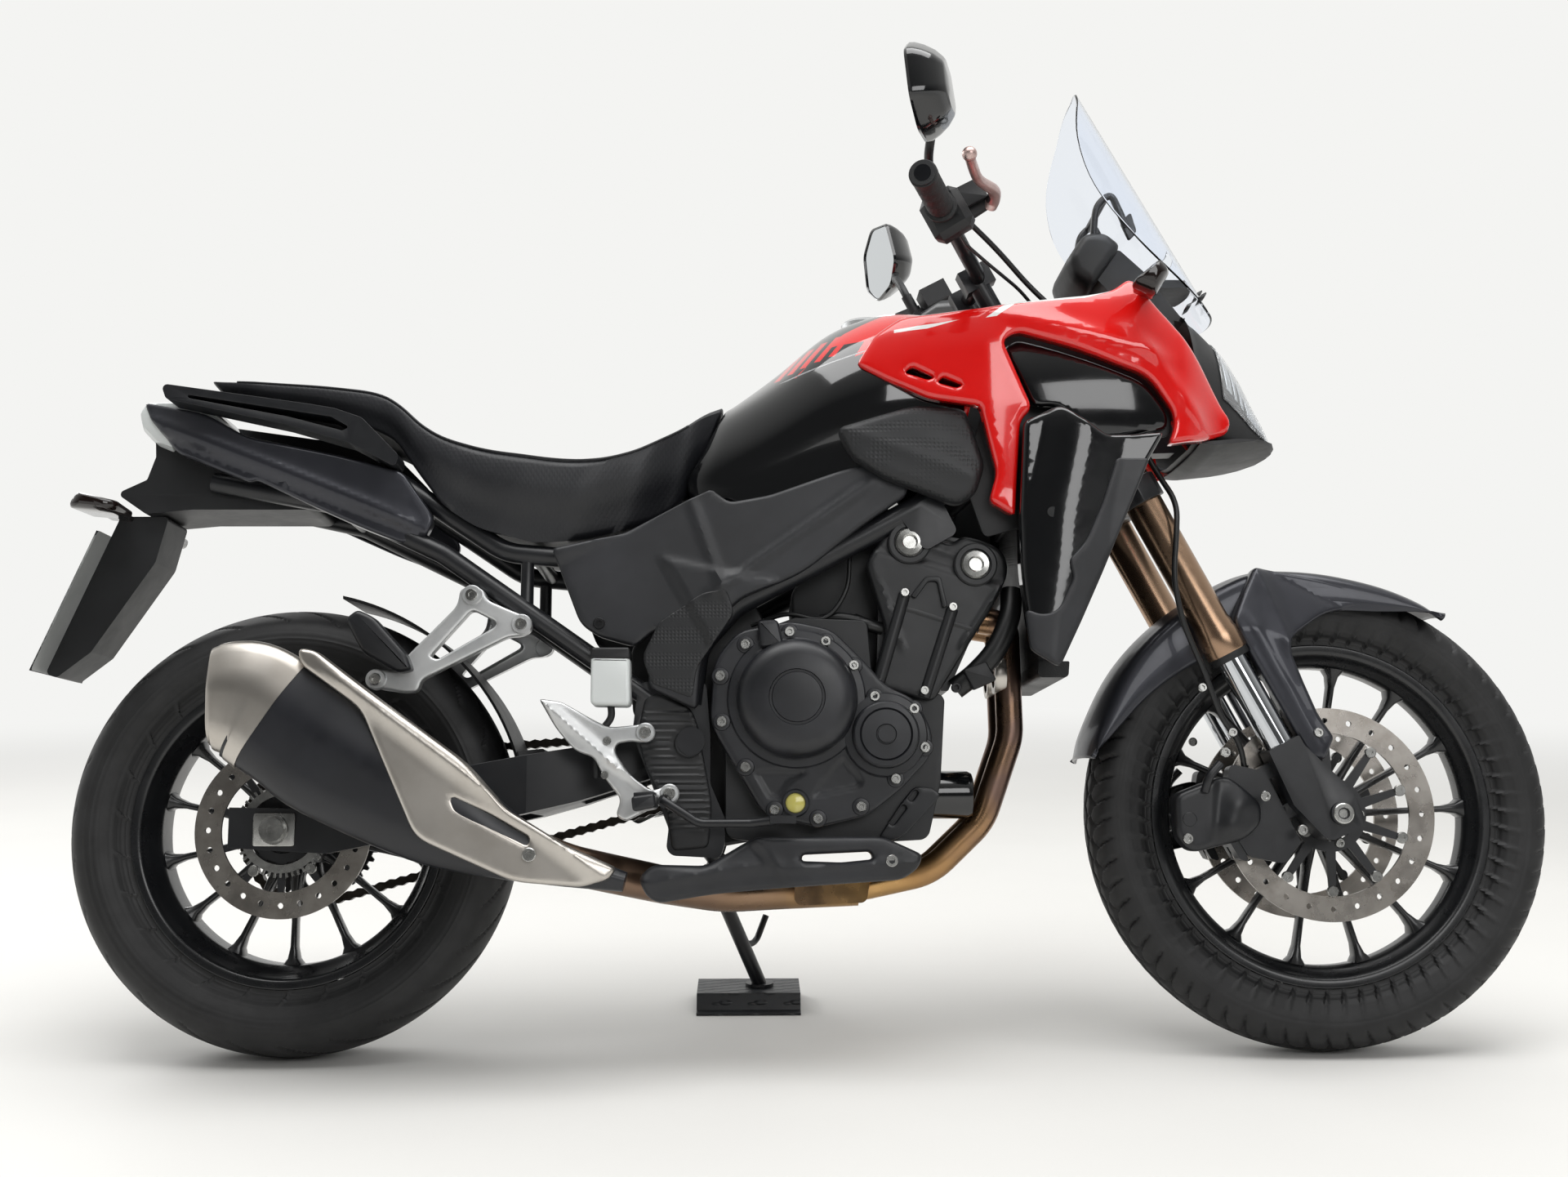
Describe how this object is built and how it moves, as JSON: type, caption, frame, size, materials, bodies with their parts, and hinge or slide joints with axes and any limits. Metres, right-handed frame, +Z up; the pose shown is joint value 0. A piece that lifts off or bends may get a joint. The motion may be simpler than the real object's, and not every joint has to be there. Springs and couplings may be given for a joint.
{
  "type": "adventure motorcycle",
  "caption": "Middleweight adventure motorcycle leaning on its side stand, whose foot is on a chequer-plate block; steering, wheels and stand move.",
  "frame": {"origin": "on the floor, under the middle of the whole machine's box, leaning on its side stand", "axes": "+Z up, +X forward, +Y towards the machine's left, the side that it leans to"},
  "size_m": [2.1284, 0.8294, 1.3954],
  "materials": {
    "axle_steel": "plated",
    "black_alloy": "satin",
    "black_steel": "satin",
    "block_steel": "chequer plate",
    "brake_black": "satin",
    "cast_alloy": "cast",
    "chain_steel": "oiled",
    "charcoal_plastic": "matt",
    "disc_steel": "brushed",
    "engine_black": "matt",
    "fork_black": "satin",
    "fork_bronze": "anodized",
    "gloss_black": "gloss",
    "graphite_plastic": "metallic satin",
    "guard_steel": "brushed",
    "header_steel": "heat tinted",
    "hose_rubber": "matt",
    "indicator_plastic": "gloss",
    "lamp_clear": "clear",
    "lamp_glass": "clear",
    "matt_plastic": "matt",
    "mirror_black": "satin",
    "muffler_black": "satin",
    "nose_plastic": "gloss",
    "radiator_black": "matt",
    "rail_alloy": "satin",
    "red_paint": "gloss",
    "rubber_pad": "dimpled",
    "screen_clear": "clear",
    "seat_vinyl": "fine grain",
    "shock_steel": "satin",
    "sprocket_steel": "satin",
    "tank_paint": "gloss",
    "tyre": "matt"
  },
  "bodies": {
    "chassis": {"chain": "chain_steel", "cylinder_head": "engine_black", "engine_case": "engine_black", "engine_covers": "engine_black", "exhaust_guards": "guard_steel", "exhaust_headers": "header_steel", "foot_controls": "cast_alloy", "fuel_tank": "tank_paint", "grab_rails": "rail_alloy", "headlight": "lamp_glass", "indicators": "indicator_plastic", "instrument_cluster": "matt_plastic", "knee_pads": "rubber_pad", "main_frame": "black_steel", "muffler": "muffler_black", "nose_cowl": "nose_plastic", "peg_brackets": "cast_alloy", "radiator": "radiator_black", "radiator_shrouds": "gloss_black", "rear_axle": "axle_steel", "rear_brake": "brake_black", "rear_shock": "shock_steel", "seat": "seat_vinyl", "side_covers": "charcoal_plastic", "side_fairings": "red_paint", "sprocket_cover": "engine_black", "stand_block": "block_steel", "swingarm": "black_steel", "tail_cowls": "charcoal_plastic", "tail_light": "lamp_clear", "undertray": "matt_plastic", "windscreen": "screen_clear"},
    "steering": {"fork_legs": "fork_bronze", "fork_lowers": "fork_black", "triple_clamps": "fork_black", "handlebar": "black_steel", "hand_controls": "matt_plastic", "mirrors": "mirror_black", "front_fender": "graphite_plastic", "control_cables": "hose_rubber"},
    "front_wheel": {"front_tyre": "tyre", "front_rim": "black_alloy", "front_discs": "disc_steel"},
    "rear_wheel": {"rear_tyre": "tyre", "rear_rim": "black_alloy", "rear_disc": "disc_steel", "rear_sprocket": "sprocket_steel"},
    "stand": {"side_stand": "black_steel"}
  },
  "joints": [
    {"name": "steering_turn", "type": "hinge", "parent": "chassis", "child": "steering", "pos_m": [0.84322, -0.17495, 0.00158], "axis": [-0.4617, 0.1311, 0.8773], "range_deg": [-38, 38]},
    {"name": "front_wheel_spin", "type": "hinge", "parent": "steering", "child": "front_wheel", "pos_m": [0.73522, -0.12632, 0.32696], "axis": [0, 0.989, -0.1478], "continuous": true},
    {"name": "rear_wheel_spin", "type": "hinge", "parent": "chassis", "child": "rear_wheel", "pos_m": [-0.70978, -0.12883, 0.31015], "axis": [0, 0.989, -0.1478], "continuous": true},
    {"name": "side_stand_swing", "type": "hinge", "parent": "chassis", "child": "stand", "pos_m": [-0.12778, 0.00976, 0.22271], "axis": [0.359, 0.5129, 0.7798], "range_deg": [0, 115]}
  ]
}
